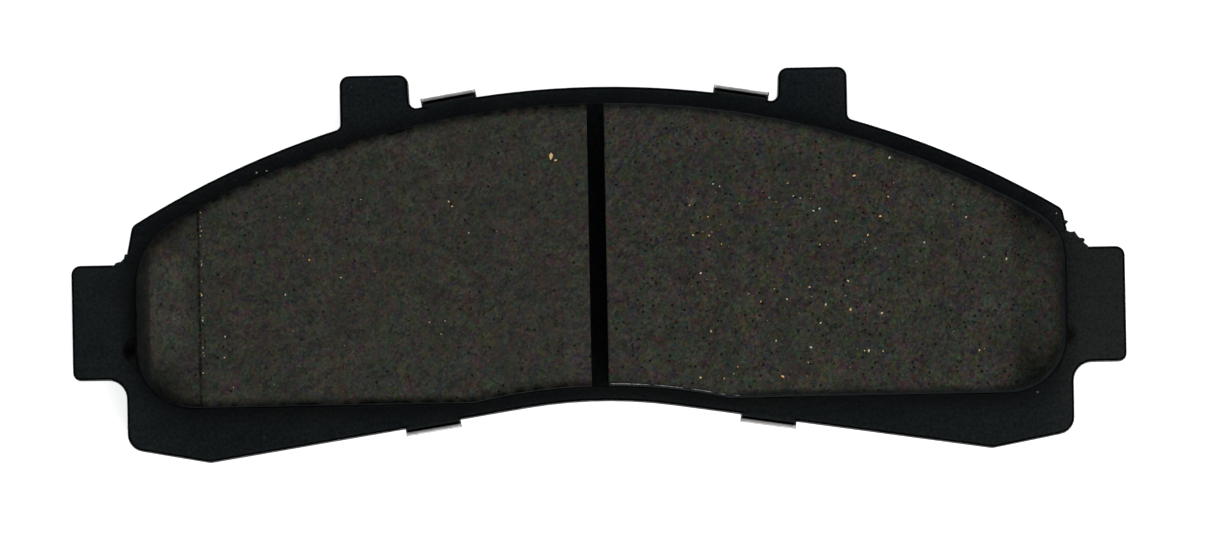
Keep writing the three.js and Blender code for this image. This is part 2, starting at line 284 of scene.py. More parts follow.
class Nodes:
    """A material's node tree, with one short call for each kind of node."""

    def __init__(self, name):
        self.material = bpy.data.materials.new(name)
        self.material.use_nodes = True
        self.tree = self.material.node_tree
        self.shader = self.tree.nodes["Principled BSDF"]
        self.place = self.tree.nodes.new("ShaderNodeTexCoord").outputs["Object"]

    def link(self, source, target):
        if isinstance(source, (int, float, tuple)):
            target.default_value = source
        else:
            self.tree.links.new(source, target)

    def node(self, kind, **settings):
        made = self.tree.nodes.new("ShaderNode" + kind)
        for key, value in settings.items():
            setattr(made, key, value)
        return made

    def axes(self):
        """The place's X, Y and Z."""
        parts = self.node("SeparateXYZ")
        self.link(self.place, parts.inputs["Vector"])
        return [parts.outputs[axis] for axis in "XYZ"]

    def stretched(self, x, y, z):
        made = self.node("Mapping")
        made.inputs["Scale"].default_value = (x, y, z)
        self.link(self.place, made.inputs["Vector"])
        return made.outputs["Vector"]

    def noise(self, size, detail=3.0, rough=0.5, place=None):
        """Cloudy noise from 0 to 1, whose blobs are about size metres across."""
        made = self.node("TexNoise")
        self.link(place or self.place, made.inputs["Vector"])
        made.inputs["Scale"].default_value = 1 / size
        made.inputs["Detail"].default_value = detail
        made.inputs["Roughness"].default_value = rough
        return made.outputs["Fac"]

    def cells(self, size):
        """Voronoi cells about size metres across: the distance to a cell's middle, and its random colour."""
        made = self.node("TexVoronoi")
        self.link(self.place, made.inputs["Vector"])
        made.inputs["Scale"].default_value = 1 / size
        return made.outputs["Distance"], made.outputs["Color"]

    def spots(self, size, tone, chosen, radius, strength=1.0):
        """Round spots, strength in the middle and 0 outside, in cells about size metres across.

        The cells' random colour chooses those that have one: its channel tone, over the span chosen. The span
        radius is where a spot fades out.
        """
        distance, colour = self.cells(size)
        picked = self.span(self.channel(colour, tone), *chosen, 0.0, strength)
        return self.times(self.span(distance, *radius, 1.0, 0.0), picked)

    def channel(self, colour, name):
        made = self.node("SeparateColor")
        self.link(colour, made.inputs["Color"])
        return made.outputs[name]

    def span(self, value, low, high, to_low=0.0, to_high=1.0):
        """value from low..high mapped to to_low..to_high, and held there beyond."""
        made = self.node("MapRange", interpolation_type="SMOOTHSTEP")
        self.link(value, made.inputs["Value"])
        settings = {"From Min": low, "From Max": high, "To Min": to_low, "To Max": to_high}
        for key, number in settings.items():
            made.inputs[key].default_value = number
        return made.outputs["Result"]

    def maths(self, operation, a, b=0.0):
        made = self.node("Math", operation=operation)
        self.link(a, made.inputs[0])
        self.link(b, made.inputs[1])
        return made.outputs["Value"]

    def times(self, a, b):
        return self.maths("MULTIPLY", a, b)

    def rest(self, share):
        """What share leaves of 1."""
        return self.maths("SUBTRACT", 1.0, share)

    def mix(self, share, a, b, blend="MIX"):
        made = self.node("Mix", data_type="RGBA", blend_type=blend)
        self.link(share, made.inputs["Factor"])
        self.link(a, made.inputs["A"])
        self.link(b, made.inputs["B"])
        return made.outputs["Result"]

    def graded(self, value, low, high, first, second):
        """The first colour where value is low, blending into the second where it is high."""
        return self.mix(self.span(value, low, high), first, second)

    def shaded(self, colour, shade):
        """A colour times a shade or another colour."""
        return self.mix(1.0, colour, shade, "MULTIPLY")

    def bump(self, height, distance, strength=1.0, under=None):
        made = self.node("Bump")
        made.inputs["Distance"].default_value = distance
        made.inputs["Strength"].default_value = strength
        self.link(height, made.inputs["Height"])
        if under:
            self.link(under, made.inputs["Normal"])
        return made.outputs["Normal"]

    def finish(self, colour, rough, normal=None, metallic=0.0, specular=0.5):
        """Sets the shader up."""
        self.link(colour, self.shader.inputs["Base Color"])
        self.link(rough, self.shader.inputs["Roughness"])
        self.link(metallic, self.shader.inputs["Metallic"])
        self.shader.inputs["Specular IOR Level"].default_value = specular
        if normal:
            self.link(normal, self.shader.inputs["Normal"])
        return self.material

    def facing_up(self, low, high):
        """0 where the surface is steeper than low, 1 where it is flatter than high (cosines from +Z)."""
        parts = self.node("SeparateXYZ")
        self.link(self.node("NewGeometry").outputs["Normal"], parts.inputs["Vector"])
        return self.span(parts.outputs["Z"], low, high)


BLACK = (0.0012, 0.0013, 0.0015, 1)
EDGE_SHADE = "margin"  # the friction blocks' vertex value of painted shade towards their outer edge
LEFT_ARRIS = min(p.x for p in outlines("friction_block_left", ROTOR_FACE, 1)[0])
RIGHT_ARRIS = max(p.x for p in outlines("friction_block_right", ROTOR_FACE, 1)[0])
ARRIS_SCORE = 0.38 * MM  # how far outside the left arris a faint scored line runs


def friction_material(name, pore_share, contrast):
    """Moulded friction mix, ground flat, with painted light and shade over the chamfers and ends, painted
    shade along the outer edges and in a scored line, and painted sides.
    """
    n = Nodes(name)
    grain_edge, grain = n.cells(0.4 * MM)
    mottle = n.noise(1.2 * MM, 5, 0.7)
    colour, pore = friction_grain(n, pore_share, contrast, grain, mottle)
    # Painted light and shade over the chamfers and towards the ends
    colour = n.shaded(colour, chamfer_shade(n))
    # Painted shade in the scored groove beside the left arris
    colour = n.mix(scored_line_shade(n), colour, BLACK)
    # Painted shade along the outer edges, in blotches
    margin = n.node("Attribute", attribute_name=EDGE_SHADE).outputs["Fac"]
    blotch = n.span(n.noise(2 * MM, 4), 0.3, 0.7, 0.65, 1.15)
    colour = n.mix(n.times(margin, blotch), colour, BLACK)
    # Paint that the grinding left on the sides, thinner towards the chamfers
    streak = n.noise(1.2 * MM, 3, 0.5, n.stretched(1, 0.06, 1))
    ground = n.facing_up(0.3, 0.97)
    ground = n.rest(n.times(n.rest(ground), n.span(streak, 0.3, 0.7, 0.95, 1.6)))
    paint = n.graded(mottle, 0.3, 0.7, (0.0038, 0.0050, 0.0060, 1), (0.0086, 0.0102, 0.0110, 1))
    colour = n.mix(ground, paint, colour)
    height = n.maths("SUBTRACT", n.times(mottle, 0.7), pore)
    height = n.maths("ADD", height, n.times(grain_edge, 0.5))
    normal = n.bump(height, 0.10 * MM, 0.9)
    return n.finish(colour, n.span(ground, 0.0, 1.0, 0.85, 0.9), normal, specular=0.02)


def friction_grain(n, pore_share, contrast, grain, mottle):
    """The colour of the cut mix with its pores and pale specks, and where the pores are."""
    dark, mid, pale = (0.0256, 0.0248, 0.0204, 1), (0.0510, 0.0497, 0.0408, 1), (0.0706, 0.0673, 0.0561, 1)
    colour = n.graded(mottle, 0.3, 0.7, dark, mid)
    colour = n.mix(n.span(n.channel(grain, "Red"), 0.1, 0.9, 0.0, 0.5), colour, pale)
    _, coarse = n.cells(1.1 * MM)
    tint = n.mix(0.4, coarse, grain)
    tint = n.mix(0.35, tint, n.channel(grain, "Green"))
    colour = n.mix(contrast, colour, tint, "OVERLAY")
    green_cloud = (0.0204, 0.0251, 0.0200, 1)
    colour = n.mix(n.span(n.noise(6 * MM, 4), 0.35, 0.65, 0.0, 0.3), colour, green_cloud)
    green, warm = (0.94, 1.0, 0.96, 1), (1.07, 0.985, 0.98, 1)
    colour = n.shaded(colour, n.graded(n.noise(5 * MM, 3), 0.35, 0.65, green, warm))
    pore = n.spots(0.95 * MM, "Green", (1 - pore_share, 1.05 - pore_share), (0.12, 0.34))
    colour = n.mix(pore, colour, (0.0075, 0.0075, 0.0062, 1))
    speck = n.spots(0.7 * MM, "Blue", (0.9, 0.92), (0.1, 0.2), 0.6)
    return n.mix(speck, colour, (0.13, 0.12, 0.10, 1)), pore


def chamfer_shade(n):
    """Painted light and shade on the mix: brightest on the left chamfer but darker at its end, dimmer on the
    face, dimmer still on the right chamfer, and darker towards the corners at both ends.
    """
    x, y, _ = n.axes()
    left_end = n.span(x, LEFT_LOW.x - 2.5 * MM, LEFT_ARRIS - 6 * MM, 0.4, 1.15)
    left_face = n.span(x, LEFT_ARRIS - 5 * MM, LEFT_ARRIS, 1.0, 0.69)
    right_chamfer = n.span(x, RIGHT_ARRIS - 0.4 * MM, RIGHT_ARRIS + 0.4 * MM, 1.0, 0.75)
    middle = LEFT_LOW.y + 17 * MM
    off_middle = n.maths("ABSOLUTE", n.maths("SUBTRACT", y, middle))
    to_corner = n.span(off_middle, 5 * MM, 16 * MM)
    to_end = n.span(n.maths("ABSOLUTE", x), 66 * MM, 75 * MM, 0.0, 0.8)
    lit = n.times(n.times(left_end, left_face), right_chamfer)
    return n.times(lit, n.rest(n.times(to_corner, to_end)))


def scored_line_shade(n):
    """Painted shade in the broken scored groove just outside the left arris."""
    x, _, _ = n.axes()
    begin = n.span(x, LEFT_ARRIS - 2 * ARRIS_SCORE, LEFT_ARRIS - ARRIS_SCORE)
    end = n.span(x, LEFT_ARRIS - 0.5 * ARRIS_SCORE, LEFT_ARRIS, 1.0, 0.0)
    return n.times(n.times(begin, end), n.span(n.noise(0.7 * MM, 2), 0.35, 0.6, 0.2, 0.8))


def underlayer_material():
    """The softer layer under the friction mix, moulded rough and painted over."""
    n = Nodes("underlayer_mix")
    mottle = n.noise(0.9 * MM, 5, 0.6)
    _, grain = n.cells(0.5 * MM)
    colour = n.graded(mottle, 0.3, 0.7, (0.0022, 0.0030, 0.0034, 1), (0.0058, 0.0068, 0.0070, 1))
    colour = n.mix(0.3, colour, grain, "OVERLAY")
    return n.finish(colour, 0.85, n.bump(mottle, 0.12 * MM, 0.9), specular=0.02)


def paint_material():
    """Satin black powder coat: fine orange peel, faint streaks along the plate and specks, with painted shade
    in the dimples, on the left ear and at the lining's foot, painted light on the lugs, and lighter blotches
    on the right ear.
    """
    n = Nodes("satin_paint")
    streak = n.noise(1.6 * MM, 4, 0.6, n.stretched(0.25, 1, 1))
    peel = n.noise(0.45 * MM, 3)
    black, grey = (0.0050, 0.0078, 0.0098, 1), (0.0082, 0.0112, 0.0120, 1)
    colour = n.graded(n.noise(12 * MM, 3), 0.3, 0.7, black, grey)
    colour = n.mix(n.span(streak, 0.35, 0.75, 0.0, 0.3), colour, (0.0128, 0.0150, 0.0146, 1))
    colour = n.mix(n.span(peel, 0.42, 0.72, 0.0, 0.4), colour, (0.0150, 0.0175, 0.0178, 1))
    speck = n.spots(1.2 * MM, "Green", (0.93, 0.95), (0.05, 0.13), 0.45)
    colour = n.mix(speck, colour, (0.10, 0.11, 0.12, 1))
    colour = n.shaded(colour, n.span(n.noise(0.6 * MM, 5, 0.75), 0.33, 0.67, 0.58, 1.48))
    x, y, z = n.axes()
    # Painted shade in the dimples, stronger in the left one
    sunk = n.span(z, PLATE_FRONT - 0.07 * MM, PLATE_FRONT, 1.0, 0.0)
    sunk = n.times(sunk, n.facing_up(0.1, 0.4))
    sunk = n.times(sunk, n.span(x, -10 * MM, 10 * MM, 1.0, 0.5))
    colour = n.mix(sunk, colour, BLACK)
    # Painted shade on the left ear, and painted light on the lugs
    colour = n.shaded(colour, n.span(x, -88 * MM, -76 * MM, 0.76, 1.0))
    lug_light = n.span(n.maths("ABSOLUTE", x), 28.5 * MM, 30.5 * MM)
    lug_light = n.times(lug_light, n.span(y, 22 * MM, 25 * MM, 0.0, 0.22))
    colour = n.shaded(colour, n.maths("ADD", lug_light, 1.0))
    # Painted shade at the foot of the lining, from ambient occlusion, lighter towards its right end
    shelter = n.node("AmbientOcclusion", samples=12)
    shelter.inputs["Distance"].default_value = 5 * MM
    lining_shade = n.span(shelter.outputs["AO"], 0.45, 1.0, 0.3, 1.0)
    lining_shade = n.maths("MAXIMUM", lining_shade, n.span(x, 64 * MM, 75 * MM, 0.0, 0.6))
    colour = n.shaded(colour, lining_shade)
    # Lighter, browner blotches on the right ear
    right_ear_blotches = n.span(n.noise(0.6 * MM, 5, 0.7), 0.3, 0.75, 0.1, 0.65)
    right_ear_blotches = n.times(right_ear_blotches, n.span(x, 76 * MM, 83 * MM))
    colour = n.mix(right_ear_blotches, colour, (0.0190, 0.0186, 0.0145, 1))
    rough = n.span(streak, 0.3, 0.7, 0.5, 0.62)
    normal = n.bump(peel, 0.03 * MM, 0.7)
    normal = n.bump(streak, 0.03 * MM, 0.4, normal)
    return n.finish(colour, rough, normal, specular=0.1)


def shaded_cut_edge_material():
    """Painted shade on the plate's cut edge and rounded front edge: dead black, torn in its tone and bump."""
    n = Nodes("shaded_cut_edge")
    torn = n.noise(0.3 * MM, 4, 0.6, n.stretched(1, 1, 0.3))
    colour = n.graded(torn, 0.35, 0.7, (0.0008, 0.0009, 0.0011, 1), (0.0030, 0.0030, 0.0032, 1))
    return n.finish(colour, 0.9, n.bump(torn, 0.05 * MM, 0.8), specular=0.0)


def steel_material():
    """Thin cold-rolled steel: dull rolled faces, bright cut edges, fine scratches and stains."""
    n = Nodes("shim_steel")
    scratch = n.noise(0.12 * MM, 3, 0.6, n.stretched(0.06, 1, 1))
    stain = n.noise(2.0 * MM, 4)
    cut = n.graded(stain, 0.3, 0.75, (0.95, 0.92, 0.90, 1), (0.74, 0.71, 0.69, 1))
    rolled = n.graded(stain, 0.3, 0.75, (0.24, 0.24, 0.245, 1), (0.15, 0.148, 0.145, 1))
    colour = n.mix(n.facing_up(0.35, 0.8), rolled, cut)
    rough = n.span(scratch, 0.3, 0.7, 0.45, 0.6)
    return n.finish(colour, rough, n.bump(scratch, 0.008 * MM, 0.6), metallic=1.0)


def rubber_material():
    """The shim's rubber coat: dull, close-grained and faintly clouded."""
    n = Nodes("shim_rubber")
    cloud = n.noise(11 * MM, 4)
    colour = n.graded(cloud, 0.3, 0.7, (0.009, 0.0095, 0.010, 1), (0.017, 0.0175, 0.018, 1))
    rough = n.span(cloud, 0.3, 0.7, 0.62, 0.78)
    return n.finish(colour, rough, n.bump(n.noise(0.25 * MM, 3), 0.02 * MM, 0.6), specular=0.35)


def adhesive_material():
    """Dark bonding resin that was squeezed out and painted over."""
    n = Nodes("bonding_adhesive")
    lumps = n.noise(1.0 * MM, 4)
    colour = n.graded(lumps, 0.3, 0.7, (0.0020, 0.0025, 0.0028, 1), (0.0045, 0.0050, 0.0052, 1))
    rough = n.span(lumps, 0.3, 0.7, 0.55, 0.75)
    return n.finish(colour, rough, n.bump(lumps, 0.05 * MM, 0.6), specular=0.03)


def fleck_material():
    """Chips of brass and steel in the friction mix, cut by the grinding."""
    n = Nodes("cut_metal")
    _, tone = n.cells(3 * MM)
    scratch = n.noise(0.08 * MM, 3, 0.6, n.stretched(1, 0.1, 1))
    brass, steel, tarnish = (0.90, 0.56, 0.21, 1), (0.66, 0.58, 0.44, 1), (0.2, 0.15, 0.09, 1)
    colour = n.graded(n.channel(tone, "Red"), 0.4, 0.7, brass, steel)
    colour = n.mix(n.span(scratch, 0.45, 0.75, 0.0, 0.5), colour, tarnish)
    return n.finish(colour, 0.5, n.bump(scratch, 0.01 * MM, 0.7), metallic=0.35)


def grit_and_glint_material():
    """Loose grains that have stuck to the paint, and the pale ridge that paints a highlight on the right
    block's lower edge.
    """
    n = Nodes("grit_and_glint")
    grain = n.noise(0.3 * MM, 3)
    colour = n.graded(grain, 0.35, 0.65, (0.10, 0.105, 0.11, 1), (0.36, 0.36, 0.34, 1))
    return n.finish(colour, 0.8, n.bump(grain, 0.05 * MM, 0.8), specular=0.2)


FRICTION_LEFT = friction_material("friction_mix_left", pore_share=0.12, contrast=0.45)
FRICTION_RIGHT = friction_material("friction_mix_right", pore_share=0.31, contrast=0.56)
UNDERLAYER_MIX = underlayer_material()
PAINT = paint_material()
SHADED_CUT_EDGE = shaded_cut_edge_material()
STEEL = steel_material()
RUBBER = rubber_material()
ADHESIVE = adhesive_material()
CUT_METAL = fleck_material()
GRIT_AND_GLINT = grit_and_glint_material()

# ---- Backing plate ----

DIE_ROLL = 0.7 * MM  # the soft rear edge that the stamping punch leaves
BURNISHED = 0.5  # the share of the plate's thickness that the punch cut smoothly
BREAK_TAPER = 0.14 * MM  # how far the torn upper part of the cut leans in
TORN_DEPTH = 0.05 * MM
FRONT_EDGE = 0.34 * MM
BLACK_EDGE = 0.3 * MM  # how far the painted shade on the cut edge reaches below the rounded front edge
LAND_HALF = 4.9 * MM  # half the width of the raised lands that the tabs grip, whose edges get the plain paint and no painted shade
FLAT_BAND = 0.6 * MM  # a flat strip inside each edge, which keeps the shading of the faces even
OUTLINE_STEP = 0.5 * MM
DIMPLE_DEPTH = 1.1 * MM
HOLE_LIP = 0.3 * MM
LOCK_HOLE_LEAST = 20 * MM  # the perimeter that tells a lock hole from a dimple


def torn_edge(point, height):
    """The unevenness of the cut, which grows towards the front face."""
    begin, ramp = 0.45, 0.2
    share = (height - PLATE_BACK) / (PLATE_FRONT - PLATE_BACK)
    if share < begin:
        return 0.0
    rough = noise.noise(Vector((point.x, point.y, height * 0.4)) * 1400)
    return max(0.0, rough + 0.4) * TORN_DEPTH * min(1.0, (share - begin) / ramp)


def backing_plate():
    bm = bmesh.new()
    rim, *holes = outlines("backing_plate", PLATE_FRONT, 1)
    wall_top = PLATE_FRONT - FRONT_EDGE
    burnish_top = PLATE_BACK + (PLATE_FRONT - PLATE_BACK) * BURNISHED
    profile = [(DIE_ROLL + FLAT_BAND, PLATE_BACK), *quarter(0, PLATE_BACK, DIE_ROLL, -1, 6), (0, burnish_top)]
    for share in (0.12, 0.3, 0.55, 0.8):
        height = burnish_top + (wall_top - burnish_top) * share
        profile.append((BREAK_TAPER * min(1.0, share * 1.6), height))
    profile += quarter(BREAK_TAPER, PLATE_FRONT, FRONT_EDGE, 1, 4)
    profile.append((BREAK_TAPER + FRONT_EDGE + FLAT_BAND, PLATE_FRONT))
    rings = swept(bm, resampled(rim, OUTLINE_STEP), profile, torn_edge)
    shade_cut_edge(bm, wall_top - BLACK_EDGE)
    backs, fronts = [rings[0]], [rings[-1]]
    for hole in holes:
        if perimeter(hole) > LOCK_HOLE_LEAST:
            back_ring, front_ring = lock_hole(bm, hole)
            backs.append(back_ring)
        else:
            front_ring = dimple(bm, hole)
        fronts.append(front_ring)
    capped(bm, *backs)
    capped(bm, *fronts)
    plate = piece("painted_backing_plate", bm, PAINT, ["backing_plate"])
    # The second material paints shade on the cut edge
    plate.data.materials.append(SHADED_CUT_EDGE)
    weigh_normals(plate)


def shade_cut_edge(bm, low):
    """Gives the cut edge above low the plate's second material, painted shade, but for the lands under the
    tabs.
    """
    tips = outlines("shim_outer_steel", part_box("shim_outer_steel")[1].z, 1)
    middles = [sum(tip, Vector((0, 0))) / len(tip) for tip in tips]
    bm.normal_update()
    for face in bm.faces:
        middle = face.calc_center_median()
        cut = middle.z > low and abs(face.normal.z) < FLAT
        under_tab = any((middle.xy - tip).length < LAND_HALF for tip in middles)
        face.material_index = int(cut and not under_tab)


def lock_hole(bm, hole):
    """A through hole for one of the underlayer's plugs; gives its rear and front rings."""
    profile = [
        (HOLE_LIP + FLAT_BAND, PLATE_BACK),
        *quarter(0, PLATE_BACK, HOLE_LIP, -1, 3),
        *quarter(0, PLATE_FRONT, HOLE_LIP, 1, 3),
        (HOLE_LIP + FLAT_BAND, PLATE_FRONT),
    ]
    rings = swept(bm, hole, profile)
    return rings[0], rings[-1]


def dimple(bm, hole):
    """A round dent pressed into the front face, dished so that it has no hard lip; gives its front ring."""
    radius = perimeter(hole) / (2 * math.pi)
    steps = 12
    profile = []
    for i in range(1, steps + 1):
        share = i / steps
        sunk = DIMPLE_DEPTH * (0.5 + 0.5 * math.cos(math.pi * share))
        profile.append((-radius * (1 - share), PLATE_FRONT - sunk))
    profile.append((FLAT_BAND, PLATE_FRONT))
    rings = swept(bm, hole, profile)
    closed(bm, rings[0], PLATE_FRONT - DIMPLE_DEPTH)
    return rings[-1]


def weigh_normals(made):
    """Keeps large flat faces flat where they meet a rounded edge."""
    modifier = made.modifiers.new("even_faces", "WEIGHTED_NORMAL")
    modifier.keep_sharp = True
    modifier.weight = 90


backing_plate()

# ---- Underlayer and adhesive ----

MOULD_WAVE = 0.07 * MM
BEAD_HEIGHT = 0.16 * MM  # how far the squeezed-out adhesive stands above the film
BEAD_FLOW = 0.12 * MM  # how unevenly it has flowed out


def moulded_edge(point, height):
    """The coarse unevenness of a moulded side wall."""
    at = Vector((point.x, point.y, height))
    return (0.6 + noise.noise(at * 500) + 0.6 * noise.noise(at * 1500)) * MOULD_WAVE


def underlayer():
    """The layer under the friction blocks, with its plugs in the plate's lock holes."""
    bm = bmesh.new()
    rim, *plugs = outlines("underlayer", LINING_BACK, -1)
    steps = 4
    heights = [LINING_BACK + (FRICTION_BACK - LINING_BACK) * i / steps for i in range(steps + 1)]
    rings = swept(bm, resampled(rim, OUTLINE_STEP), [(0, height) for height in heights], moulded_edge)
    # A plug's outline runs the other way round, so a negative inset makes it narrower.
    bevel = 0.3 * HOLE_LIP
    plug_profile = [
        (-2 * HOLE_LIP, PLUG_BACK),
        (-HOLE_LIP, PLUG_BACK),
        (-bevel, PLUG_BACK + bevel),
        (0, PLUG_BACK + HOLE_LIP),
        (0, LINING_BACK),
    ]
    feet = [rings[0]]
    for plug in plugs:
        shaft = swept(bm, plug, plug_profile)
        closed(bm, shaft[0], PLUG_BACK)
        feet.append(shaft[-1])
    capped(bm, *feet)
    capped(bm, rings[-1])
    layer = piece("moulded_underlayer", bm, UNDERLAYER_MIX, ["underlayer"])
    weigh_normals(layer)


def adhesive():
    """The glued film, with the low uneven bead that was squeezed out round the lining's foot."""
    bm = bmesh.new()
    low, high = FILM_BACK, LINING_BACK
    rim, *holes = outlines("adhesive_film", high, 1)
    top = high + BEAD_HEIGHT
    bead = [(0.9 * MM, low), (0.05 * MM, low), (0, low + 0.05 * MM), (0.1 * MM, high + 0.06 * MM)]
    bead += [(0.25 * MM, top), (0.4 * MM, top), (0.5 * MM, high), (0.9 * MM, high)]

    def flow(point, height):
        if height < low + CLOSE:
            return 0.0
        return (noise.noise(Vector((point.x, point.y, 0)) * 350) + 0.5) * BEAD_FLOW

    rings = swept(bm, resampled(rim, OUTLINE_STEP), bead, flow)
    walls = [swept(bm, hole, [(0, low), (0, high)]) for hole in holes]
    capped(bm, rings[0], *(hole[0] for hole in walls))
    capped(bm, rings[-1], *(hole[-1] for hole in walls))
    piece("squeezed_adhesive", bm, ADHESIVE, ["adhesive_film"])


underlayer()
adhesive()

# ---- Friction blocks ----

GRID = (0.4 * MM, 0.4 * MM, 0.6 * MM)  # how finely a block's surface is cut along X, Y and Z
EDGE_ROUND = 1.4 * MM  # between the sides and the face, and over the shoulder in the left chamfer
SLOT_ROUND = 0.25 * MM
FACE_WAVE = 0.012 * MM
SIDE_WAVE = 0.06 * MM
SCORE_DEPTH = 0.09 * MM
CRUMBLE_DEPTH = 0.14 * MM
MARGIN_WIDTH = 1.8 * MM  # of the painted shade along the sides; it is twice as wide at the ends
END_BEGIN, END_REACH = 70 * MM, 9 * MM  # where the ends begin along X, and how far they go
GLINT_END = 24 * MM  # the right block's lower edge carries a painted highlight from the slot to here, and little painted shade
random.seed(11)


def diced(bm, low, high, steps):
    """Cuts every face along planes across X, Y and Z, so that the surface can be shaped."""
    for axis, step in enumerate(steps):
        count = math.ceil((high[axis] - low[axis]) / step)
        for i in range(1, count):
            at = Vector(low)
            at[axis] = low[axis] + (high[axis] - low[axis]) * i / count
            normal = Vector((0, 0, 0))
            normal[axis] = 1
            everything = bm.verts[:] + bm.edges[:] + bm.faces[:]
            bmesh.ops.bisect_plane(bm, geom=everything, dist=CLOSE, plane_co=at, plane_no=normal)


def block_solid(node):
    """The CAD block with its facets joined and its edges rounded: widely outside, narrowly at the slot."""
    bm = bmesh.new()
    bm.from_mesh(frame["nodes"][node].data)
    bmesh.ops.remove_doubles(bm, verts=bm.verts, dist=WELD)
    bmesh.ops.dissolve_limit(bm, angle_limit=math.radians(0.4), verts=bm.verts, edges=bm.edges)
    slot_x = min((v.co.x for v in bm.verts), key=abs)

    def on_back(edge):
        return all(v.co.z < FRICTION_BACK + CLOSE for v in edge.verts)

    def at_slot(edge):
        return all(abs(v.co.x - slot_x) < CLOSE for v in edge.verts)

    def on_face(edge):
        return all(face.normal.z > 0.6 for face in edge.link_faces)

    def on_shoulder(edge):
        return on_face(edge) and all(v.co.z < ROTOR_FACE - 2 * MM for v in edge.verts)

    for offset, segments, chosen in (
        (EDGE_ROUND, 4, lambda edge: not at_slot(edge) and not on_face(edge)),
        (SLOT_ROUND, 3, at_slot),
        (EDGE_ROUND, 4, on_shoulder),
    ):
        edges = [edge for edge in bm.edges if edge.calc_face_angle(0) > math.radians(20)]
        edges = [edge for edge in edges if chosen(edge) and not on_back(edge)]
        bmesh.ops.bevel(
            bm, geom=edges, offset=offset, segments=segments, profile=0.5, affect="EDGES", clamp_overlap=True
        )
        bm.normal_update()
    return bm


def friction_block(node, name, material, pits_per_mm):
    bm = block_solid(node)
    low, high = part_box(node)
    diced(bm, low, high, GRID)
    bm.normal_update()
    paint_edge_shade(bm, node)
    roughen(bm, low, high, pits_per_mm)
    piece(name, bm, material, [node], smooth=60)


def paint_edge_shade(bm, node):
    """Sets each point's painted shade from its distance to the block's outline, away from the slot; weak on
    the right block's lit lower edge.
    """
    foot = outlines(node, FRICTION_BACK, -1)[0]
    slot_x = min((point.x for point in foot), key=abs)
    outer = tree_of([p for p in resampled(foot, 0.2 * MM) if abs(p.x - slot_x) > 0.1 * MM])
    layer = bm.verts.layers.float.new(EDGE_SHADE)
    for v in bm.verts:
        near_end = min(1.0, max(0.0, (abs(v.co.x) - END_BEGIN) / END_REACH))
        width = MARGIN_WIDTH * (1 + near_end)
        share = max(0.0, 1 - outer.find((v.co.x, v.co.y, 0))[2] / width)
        # The right block's lower edge near the slot is lit, so it gets little painted shade
        lit = v.co.y < -12 * MM and 0 < v.co.x < GLINT_END
        strength = 0.25 if lit else 0.95 - 0.35 * near_end
        v[layer] = share * share * (3 - 2 * share) * strength


def roughen(bm, low, high, pits_per_mm):
    """Moves each point of a block but those at its foot along its normal."""
    pits = Pits(low, high, pits_per_mm)
    foot = low.z + 0.05 * MM
    moves = [0.0 if v.co.z < foot else wear(v, pits) for v in bm.verts]
    for v, move in zip(bm.verts, moves):
        v.co += v.normal * move


def wear(v, pits):
    """How far a point stands out: by waves, the scored line, pits, crumbled edges or rough sides."""
    move = FACE_WAVE * noise.noise(v.co * 900) - FACE_WAVE
    if 0 < LEFT_ARRIS - v.co.x < 2 * ARRIS_SCORE:
        move -= SCORE_DEPTH * max(0.0, 0.6 + noise.noise(v.co * 1100))
    if v.normal.z > 0.97:
        move -= pits.depth(v.co)
    elif v.normal.z > 0.15:
        crumble = max(0.0, noise.noise(v.co * 420) + 0.5 * noise.noise(v.co * 1300) - 0.12)
        move -= CRUMBLE_DEPTH * crumble
    else:
        move += SIDE_WAVE * (noise.noise(v.co * 700) - 0.5)
    return move


class Pits:
    """Round pits scattered over a block, kept by square cell so that those near a point are found fast."""

    CELL = 2 * MM

    def __init__(self, low, high, per_mm):
        self.cells = {}
        for _ in range(int((high.x - low.x) / MM * per_mm)):
            x = random.uniform(low.x, high.x)
            y = random.uniform(low.y, high.y)
            radius = random.uniform(0.4, 0.9) * MM
            depth = radius * random.uniform(0.15, 0.4)
            self.cells.setdefault(self.cell(x, y), []).append((x, y, radius, depth))

    def cell(self, x, y):
        return int(x // self.CELL), int(y // self.CELL)

    def depth(self, at):
        """The depth at a point of the deepest pit that holds it."""
        deepest = 0.0
        column, row = self.cell(at.x, at.y)
        for near in itertools.product((column - 1, column, column + 1), (row - 1, row, row + 1)):
            for x, y, radius, depth in self.cells.get(near, ()):
                share = math.hypot(at.x - x, at.y - y) / radius
                if share < 1:
                    deepest = max(deepest, depth * (1 - share * share))
        return deepest


friction_block("friction_block_left", "lining_left", FRICTION_LEFT, pits_per_mm=2.2)
friction_block("friction_block_right", "lining_right", FRICTION_RIGHT, pits_per_mm=4.5)

# ---- Chips, burrs, grit and a painted glint ----

# The largest cut chips in the rotor face: their places and sizes, in millimetres.
LARGE_CHIPS = (
    (-7.7, 18.2, 1.5),
    (-6.9, 17.5, 0.7),
    (50.3, 16.9, 0.7),
    (44.2, 13.9, 0.7),
    (46.3, 3.7, 0.6),
    (43.1, -9.0, 0.8),
    (48.5, -9.7, 0.6),
    (31.3, -20.3, 0.8),
    (17.2, -20.2, 0.6),
    (70.0, -0.8, 0.7),
    (-68.0, 5.7, 0.4),
    (-68.0, -4.5, 0.45),
    (-67.9, -8.8, 0.5),
    (-68.0, -17.8, 0.4),
)
